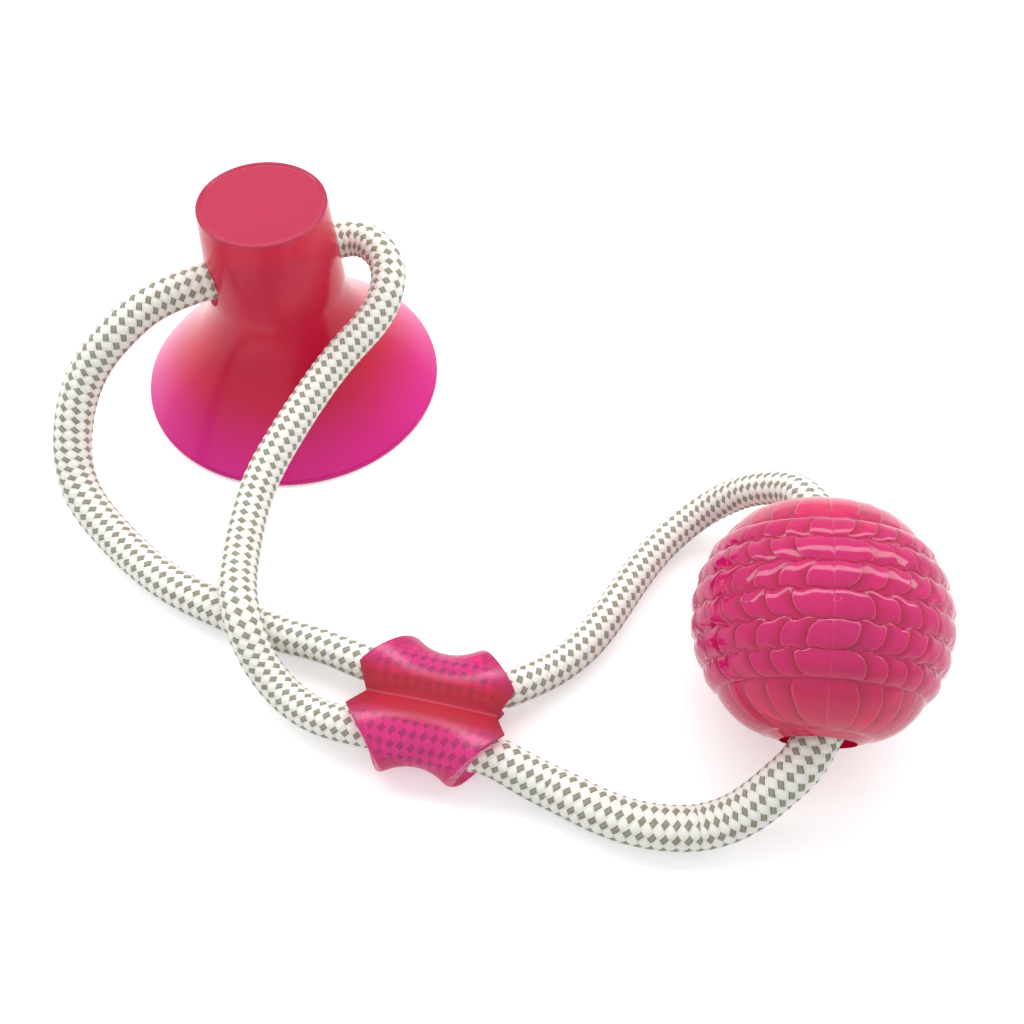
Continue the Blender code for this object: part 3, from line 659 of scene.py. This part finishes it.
# The twin sleeve: one soft magenta moulding of two short barrels side by side, waisted, with
# flared mouths cut to a slant and a valley between the barrels. The rope's strands fill it.
TIP_HALF_LENGTH = 0.0258
NOTCH_HALF_LENGTH = 0.0192
CORNER_HALF_LENGTH = 0.0106
TIP_SPREAD = 0.0044
BARREL_SPREAD = (STRAND_OFFSET, 0.0112)
BARREL_RADIUS = (0.0077, 0.0093)
BARREL_BORE_RADIUS = (0.0061, 0.0080)
WEB_HALF_HEIGHT = (0.0048, 0.0042)
RIDGE_SHIFT = 0.0033
END_LEAN = 0.42
END_SOFTNESS = 0.004
CORNER_ROUNDING = 0.0022
RIM_ROUNDING = 0.0005
WAIST_WRAP = 104
OUTLINE_STEPS = 40
HOLE_OVERRUN = 0.003
SLEEVE_MAGENTA = (0.95, 0.04, 0.36)
# A paler pink for a painted highlight along the valley's crease.
CREASE_HIGHLIGHT_PINK = (1.0, 0.30, 0.36)


def flared(sizes, share):
    """A size that grows from the middle of the sleeve to its ends."""
    return sizes[0] + (sizes[1] - sizes[0]) * share ** 2 * (2 - share ** 2)


def sleeve_end(across):
    """How far the sleeve reaches along its barrels at this distance from its middle."""
    widest = BARREL_SPREAD[1] + BARREL_RADIUS[1]
    to_tip = max(0, 1 - across / TIP_SPREAD)
    notch = TIP_HALF_LENGTH - (TIP_HALF_LENGTH - NOTCH_HALF_LENGTH) * to_tip ** 2
    slant = (TIP_HALF_LENGTH - CORNER_HALF_LENGTH) * (across - TIP_SPREAD) / (widest - TIP_SPREAD)
    slanted = TIP_HALF_LENGTH - slant
    reach = (notch + slanted - hypot(notch - slanted, END_SOFTNESS)) / 2
    past = min(1, max(0, 1 - (widest - across) / CORNER_ROUNDING))
    return reach - CORNER_ROUNDING * 0.7 * (1 - sqrt(1 - past ** 2))


def leant_end(across, up):
    """The sleeve's reach there, less under its web, where the mouths are cut back."""
    widest = BARREL_SPREAD[1] + BARREL_RADIUS[1]
    return sleeve_end(abs(across)) - END_LEAN * max(0, -up) * max(0, 1 - (across / widest) ** 2)


def rounded_off(share, across):
    """How much the rim's round edge takes off a wall near the sleeve's end."""
    left = (1 - abs(share)) * sleeve_end(across)
    if left >= RIM_ROUNDING:
        return 0.0
    return RIM_ROUNDING - sqrt(max(0, RIM_ROUNDING ** 2 - (RIM_ROUNDING - left) ** 2))


def sleeve_ring(share):
    """One cross-section of the sleeve: two barrels, with a valley between them above and below."""
    spread = flared(BARREL_SPREAD, share)
    web = flared(WEB_HALF_HEIGHT, share)
    radius = flared(BARREL_RADIUS, share) - rounded_off(share, spread)
    web -= min(web * 0.4, rounded_off(share, 0))
    tangent = pi - atan2(web, spread) - acos(radius / hypot(spread, web))
    reach = tangent * share ** 2 + radians(WAIST_WRAP) * (1 - share ** 2)
    pull = RIDGE_SHIFT * (1 - share ** 2)
    points = [(0, web)]
    for side in (1, -1):
        for i in range(OUTLINE_STEPS + 1):
            angle = side * (reach - 2 * reach * i / OUTLINE_STEPS)
            across = spread + radius * cos(angle) - pull * sin(angle) ** 2
            points.append((side * across, radius * sin(angle)))
        if side == 1:
            points.append((0, -web))
    return [(share * leant_end(a, b), a, b) for a, b in points]


def barrel_ring(side, share, overrun=0.0):
    """One ring of a barrel's hole, which widens and leans out at the mouths like the barrel."""
    spread = flared(BARREL_SPREAD, share)
    radius = flared(BARREL_BORE_RADIUS, share) + 0.8 * rounded_off(share, spread)
    ring = []
    for i in range(BORE_COLUMNS):
        angle = 2 * pi * i / BORE_COLUMNS
        across = spread + radius * cos(angle)
        up = radius * sin(angle)
        ring.append((share * leant_end(across, up) + overrun, side * across, up))
    return ring


def in_sleeve_place(rings):
    """The same points, moved from the sleeve's own frame to where it lies."""
    rings = np.array(rings)
    return (
        SLEEVE_MIDDLE + rings[:, :, :1] * SLEEVE_ALONG + rings[:, :, 1:2] * SLEEVE_ACROSS
        + rings[:, :, 2:] * np.array((0, 0, 1))
    )


shares = [0, 0.08, 0.16, 0.24, 0.32, 0.4, 0.48, 0.56, 0.64, 0.72, 0.79, 0.85, 0.9, 0.94, 0.96,
          0.972, 0.978, 0.984, 0.989, 0.993, 0.997, 1]
shares = [-x for x in shares[:0:-1]] + shares
rings = in_sleeve_place([sleeve_ring(x) for x in shares])
sleeve = skinned("sleeve_moulding", rings[::-1], caps=True)
drills = []
for side in (1, -1):
    hole = [barrel_ring(side, -1, -HOLE_OVERRUN)]
    hole += [barrel_ring(side, x) for x in shares]
    hole.append(barrel_ring(side, 1, HOLE_OVERRUN))
    drills.append(skinned("barrel_drill", in_sleeve_place(hole[::side]), caps=True))
drilled(sleeve, drills)
sleeve.data.materials.clear()


def sleeve_thickness(tree, place):
    """The web between the barrels is the thickest part, up to their ridges."""
    across = work(tree, "ABSOLUTE", one_way(tree, place, SLEEVE_MIDDLE, SLEEVE_ACROSS))
    return fade(tree, across, 0.0045, 0.0095)


sleeve.data.materials.append(
    rubber(
        "sleeve_rubber", SLEEVE_MAGENTA, RUBBER_THICK, sleeve_thickness, gloss=0.22,
        depth=0.0001, density=90, tint=(1.0, 0.20, 0.75), clearness=0.75,
    )
)
tree = sleeve.data.materials[0].node_tree
place = tree.nodes["Texture Coordinate"].outputs["Object"]
gloss = tree.nodes["Principled BSDF"].inputs["Roughness"]
web_gloss = work(tree, "MULTIPLY", sleeve_thickness(tree, place), 0.3)
tree.links.new(work(tree, "ADD", gloss.links[0].from_socket, web_gloss), gloss)
base = tree.nodes["Principled BSDF"].inputs["Base Color"]
# Painted highlight: a thin pale line along the bottom of the valley between the barrels.
from_crease = work(tree, "ABSOLUTE", one_way(tree, place, SLEEVE_MIDDLE, SLEEVE_ACROSS))
crease_highlight = work(tree, "MULTIPLY", fade(tree, from_crease, 0.00015, 0.0005), 0.7)
tree.links.new(blend(tree, crease_highlight, base.links[0].from_socket, CREASE_HIGHLIGHT_PINK), base)
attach(sleeve, "sleeve")
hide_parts("twin_sleeve")

# The chew ball: one thick, hollow, clear pink rubber moulding with a round hole at each pole and
# rows of overlapping scales between. The scales point away from the mould's seam on both sides.
BALL_RADIUS = 0.035
SCALE_STEP = 0.0006
ROW_CROWN = 0.0004
BALL_WALL = 0.0054
BALL_HOLE_RADIUS = 0.010
ROW_ANGLE = 12.6
ROWS_EACH_SIDE = 3
END_ROW_LIMIT = 66.0
ROW_RINGS = 12
END_ROW_RINGS = 18
HOLLOW_RINGS = 25
COLUMNS = 384
SCALE_TURN = 11.25
END_SCALE_TURN = 15.0
FIRST_TIPS = {1: 11.25, 0: 16.875}
END_FIRST_TIP = 21.0
SWEEP = 0.62
TIP_ROUND = 0.31
STEP_RUN = 0.5
BALL_PINK = (0.90, 0.02, 0.29)
# The red the ball takes towards its poles, as painted shade.
BALL_RED = (0.90, 0.006, 0.11)
# A paler pink for painted highlights on the scales' tip edges, and a deeper red for painted shade
# at their feet.
EDGE_HIGHLIGHT_PINK = (1.0, 0.25, 0.42)
FOOT_SHADE_RED = (0.52, 0.008, 0.08)
GATE_MARK = (4.0, -1.0)
SCALLOP = 0.8
SCALLOP_FREE = 14.0
SEAM_RIDGE = 0.0001
skin_radius = BALL_RADIUS - SCALE_STEP - ROW_CROWN
hollow_radius = skin_radius + ROW_CROWN - BALL_WALL
ball_turned = (
    Matrix.Rotation(radians(-4.5), 3, "Z") @ Matrix.Rotation(radians(107), 3, "X")
    @ Matrix.Rotation(radians(97.5), 3, "Z")
)


def half_turn_scales(first_tip, pitch):
    """Places and rises of the columns from the seam round to the far side, and their shade.

    The shade is painted light: 1 is a painted highlight on the edge of a scale's tip, and -1 is
    painted shade down at the foot of the next.
    """
    per_scale = round(pitch / 360 * COLUMNS)
    first_columns = round(first_tip / 360 * COLUMNS)
    shares = 1 - (1 - np.arange(first_columns) / first_columns) ** 1.4
    shares[1] = 0.25 / first_tip
    places = list(first_tip * shares)
    rises = list(0.6 + 0.4 * shares ** 0.8 - 0.12 * np.maximum(0, (shares - 0.92) / 0.08) ** 2)
    shades = list(0.4 * (shares > 0.955) + 0.5 * (shares == 0))
    shares = 1 - (1 - np.arange(per_scale - 1) / (per_scale - 1)) ** 1.6
    rise = 0.95 * shares ** 0.7 + 0.05 * shares - 0.12 * np.maximum(0, (shares - 0.92) / 0.08) ** 2
    # A painted highlight near each tip, and painted shade fading out from each foot.
    shade = 0.4 * (shares > 0.955) - np.maximum(0, 1 - shares / 0.6) ** 1.3
    tip = first_tip
    while len(places) < COLUMNS / 2:
        places += [tip, *(tip + STEP_RUN + (pitch - STEP_RUN) * shares)]
        rises += [0.88, *rise]
        shades += [1.0, *shade]
        tip += pitch
    count = COLUMNS // 2
    places, rises, shades = places[:count] + [180.0], rises[:count] + [0.6], shades[:count] + [0.0]
    return np.array(places), np.array(rises), np.array(shades)


def scale_ring(latitude, share, way, first_tip, pitch, waves):
    """One ring of the ball's skin, where share is how far across its row the ring lies.

    A scale's edge sweeps back to one side of its row, by turns on the two sides of the seam, and
    its middle bulges between two scales of the next row by the waves' degrees. It gives the
    points and their painted highlight and shade, which is darker again in the grooves between rows.
    """
    places, rises, shades = half_turn_scales(first_tip, pitch)
    crown = sqrt(max(0, 1 - (2 * share - 1) ** 2))
    swell = (1 - (2 * share - 1) ** 2) ** 0.75
    loose = np.minimum(1, places / first_tip) * np.minimum(1, (180 - places) / first_tip)
    halves, bulges = [], []
    for side in (1, -1):
        to_tip = share if way == side else 1 - share
        swept = pitch * (SWEEP * (1 - to_tip) ** 3.2 + TIP_ROUND * to_tip ** 14)
        around = np.clip(places - swept * loose, 0, 180)
        halves.append(around)
        low_back, high_back = (SWEEP, TIP_ROUND) if way == side else (TIP_ROUND, SWEEP)
        low = waves[0] * (1 - share) * np.cos(2 * pi * ((around - first_tip) / pitch + low_back))
        high = waves[1] * share * np.cos(2 * pi * ((around - first_tip) / pitch + high_back))
        free = np.minimum(1, around / SCALLOP_FREE) * np.minimum(1, (180 - around) / SCALLOP_FREE)
        bulges.append(np.radians(low - high) * free)
    radius = skin_radius + swell * (ROW_CROWN + SCALE_STEP * rises) + SEAM_RIDGE * (places == 0)
    longitude = np.radians(np.concatenate([halves[0], 360 - halves[1][-2:0:-1]]))
    radius = np.concatenate([radius, radius[-2:0:-1]])
    shades = np.concatenate([shades, shades[-2:0:-1]]) * min(1, 1.5 * crown)
    # Painted shade: the grooves between the rows are darker.
    shades -= 0.8 * (1 - crown) ** 2
    latitude = latitude + np.concatenate([bulges[0], bulges[1][-2:0:-1]])
    flat = radius * np.cos(latitude)
    points = [flat * np.cos(longitude), flat * np.sin(longitude), radius * np.sin(latitude)]
    return np.stack(points, axis=1), shades


def plain_ring(radius, latitude, count):
    """A round ring about the ball's axis."""
    angle = np.linspace(0, 2 * pi, count, endpoint=False)
    flat = radius * cos(latitude)
    height = np.full(count, radius * sin(latitude))
    return np.stack([flat * np.cos(angle), flat * np.sin(angle), height], axis=1)


# Each band is one row of scales: its two latitudes, the pole that its edges lead to, its first
# tip, the turn from scale to scale, the swing of its two row lines, and its number of rings.
bands = []
for i in range(-ROWS_EACH_SIDE, ROWS_EACH_SIDE):
    odd = i % 2
    waves = (SCALLOP * (i > -ROWS_EACH_SIDE), SCALLOP * (i < ROWS_EACH_SIDE - 1))
    row = (1 if odd else -1, FIRST_TIPS[odd], SCALE_TURN, waves, ROW_RINGS)
    bands.append((i * ROW_ANGLE, (i + 1) * ROW_ANGLE, *row))
edge = ROWS_EACH_SIDE * ROW_ANGLE
end_row = (END_FIRST_TIP, END_SCALE_TURN, (0, 0), END_ROW_RINGS)
bands.insert(0, (-END_ROW_LIMIT, -edge, 1, *end_row))
bands.append((edge, END_ROW_LIMIT, -1, *end_row))
hole_outside = acos(BALL_HOLE_RADIUS / skin_radius)
hole_inside = acos(BALL_HOLE_RADIUS / hollow_radius)
cap_latitudes = np.linspace(radians(END_ROW_LIMIT), hole_outside, 6)
rings = [plain_ring(skin_radius, -x, COLUMNS) for x in cap_latitudes[:0:-1]]
scale_shades = [np.zeros(COLUMNS) for ring in rings]
for low, high, way, first_tip, pitch, waves, count in bands:
    for i in range(count):
        share = (1 - cos(pi * i / count)) / 2
        latitude = radians(low + (high - low) * share)
        points, shades = scale_ring(latitude, share, way, first_tip, pitch, waves)
        rings.append(points)
        scale_shades.append(shades)
rings += [plain_ring(skin_radius, x, COLUMNS) for x in cap_latitudes]
for share in np.linspace(0, 1, HOLLOW_RINGS):
    rings.append(plain_ring(hollow_radius, hole_inside * (1 - 2 * share), COLUMNS))
scale_shades += [np.zeros(COLUMNS)] * (len(rings) - len(scale_shades))
rings = np.array(rings) @ np.array(ball_turned).T + BALL_MIDDLE
ball = skinned("ball_moulding", rings[::-1], closed=True)
ball.data.set_sharp_from_angle(angle=radians(50))
ball.data.attributes.new("scale_shade", "FLOAT", "POINT").data.foreach_set(
    "value", np.array(scale_shades)[::-1].ravel()
)


def ball_pole_shade(tree, place):
    """Painted shade: the ball is a deeper red towards its poles than round its waist."""
    from_waist = work(tree, "ABSOLUTE", one_way(tree, place, BALL_MIDDLE, BALL_LINE))
    return fade(tree, from_waist, 0.036, 0.012)


ball.data.materials.append(
    rubber(
        "ball_rubber", BALL_PINK, BALL_RED, ball_pole_shade, gloss=0.05, depth=0.0001,
        density=110, tint=(1.0, 0.25, 0.50), clearness=0.52,
    )
)
tree = ball.data.materials[0].node_tree
# Painted light from the scale_shade attribute: a pale pink highlight along the scales' tip edges,
# and a deeper red shade at their feet and in the row grooves.
shade = tree.nodes.new("ShaderNodeAttribute")
shade.attribute_name = "scale_shade"
edge_highlight = work(tree, "MULTIPLY", work(tree, "MAXIMUM", shade.outputs["Fac"], 0.0), 0.7)
below = work(tree, "MULTIPLY", shade.outputs["Fac"], -1.0)
foot_shade = work(tree, "MULTIPLY", work(tree, "MAXIMUM", below, 0.0), 0.8)
base = tree.nodes["Principled BSDF"].inputs["Base Color"]
with_foot_shade = blend(tree, foot_shade, base.links[0].from_socket, FOOT_SHADE_RED)
tree.links.new(blend(tree, edge_highlight, with_foot_shade, EDGE_HIGHLIGHT_PINK), base)


def far_from(tree, point):
    """How far the surface lies from a point."""
    node = tree.nodes.new("ShaderNodeVectorMath")
    node.operation = "DISTANCE"
    node.inputs[1].default_value = point
    tree.links.new(tree.nodes["Texture Coordinate"].outputs["Object"], node.inputs[0])
    return node.outputs["Value"]


up, aside = (radians(x) for x in GATE_MARK)
gate = ball_turned @ Vector((cos(up) * cos(aside), cos(up) * sin(aside), sin(up)))
gate = Vector(BALL_MIDDLE) + BALL_RADIUS * gate
swell = tree.nodes["Bump"].inputs["Height"]
dent = work(tree, "MULTIPLY", fade(tree, far_from(tree, gate), 0.0008, 0.0012), 2.0)
tree.links.new(work(tree, "SUBTRACT", swell.links[0].from_socket, dent), swell)
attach(ball, "ball")
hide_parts("chew_ball")

# The table: a plain pale top, wide enough to fill the picture from every side. One long soft box
# hangs over the toy and a little behind it, as over a photographer's table.
LAMP_PLACE = (0.0, 0.34, 0.78)
LAMP_SIZE = (3.0, 0.27)
LAMP_WATTS = 11.5
LIT_SPOT = (0, -0.03, 0.02)
ROOM_LIGHT = 0.66

top = bpy.data.meshes.new("table_top")
top.from_pydata([(-3, -3, 0), (3, -3, 0), (3, 3, 0), (-3, 3, 0)], [], [(0, 1, 2, 3)])
table = bpy.data.objects.new("table_top", top)
bpy.context.scene.collection.objects.link(table)
pale, tree, shader = new_finish("pale_table_top", 0.9)
shader.inputs["Base Color"].default_value = (0.85, 0.85, 0.85, 1)
shader.inputs["Specular IOR Level"].default_value = 0.1


def seen(tree):
    """One for rays of the camera, of reflections and of light through the rubber, else zero."""
    path = tree.nodes.new("ShaderNodeLightPath").outputs
    rays = work(tree, "MAXIMUM", path["Is Camera Ray"], path["Is Glossy Ray"])
    return work(tree, "MAXIMUM", rays, path["Is Transmission Ray"])


shader.inputs["Emission Color"].default_value = (1, 1, 1, 1)
tree.links.new(work(tree, "MULTIPLY", seen(tree), 0.4), shader.inputs["Emission Strength"])
top.materials.append(pale)

world = bpy.data.worlds.new("studio")
bpy.context.scene.world = world
world.use_nodes = True
world.node_tree.nodes["Background"].inputs["Color"].default_value = (1, 1, 1, 1)
tree = world.node_tree
tree.links.new(
    work(tree, "ADD", ROOM_LIGHT, work(tree, "MULTIPLY", seen(tree), 1 - ROOM_LIGHT)),
    tree.nodes["Background"].inputs["Strength"],
)
lamp = bpy.data.lights.new("long_box_overhead", "AREA")
lamp.shape = "RECTANGLE"
lamp.size, lamp.size_y = LAMP_SIZE
lamp.energy = LAMP_WATTS
box = bpy.data.objects.new("long_box_overhead", lamp)
box.location = LAMP_PLACE
aim = Vector(LAMP_PLACE) - Vector(LIT_SPOT)
box.rotation_euler = aim.to_track_quat("Z", "Y").to_euler()
bpy.context.scene.collection.objects.link(box)

bpy.context.scene.view_settings.view_transform = "Standard"
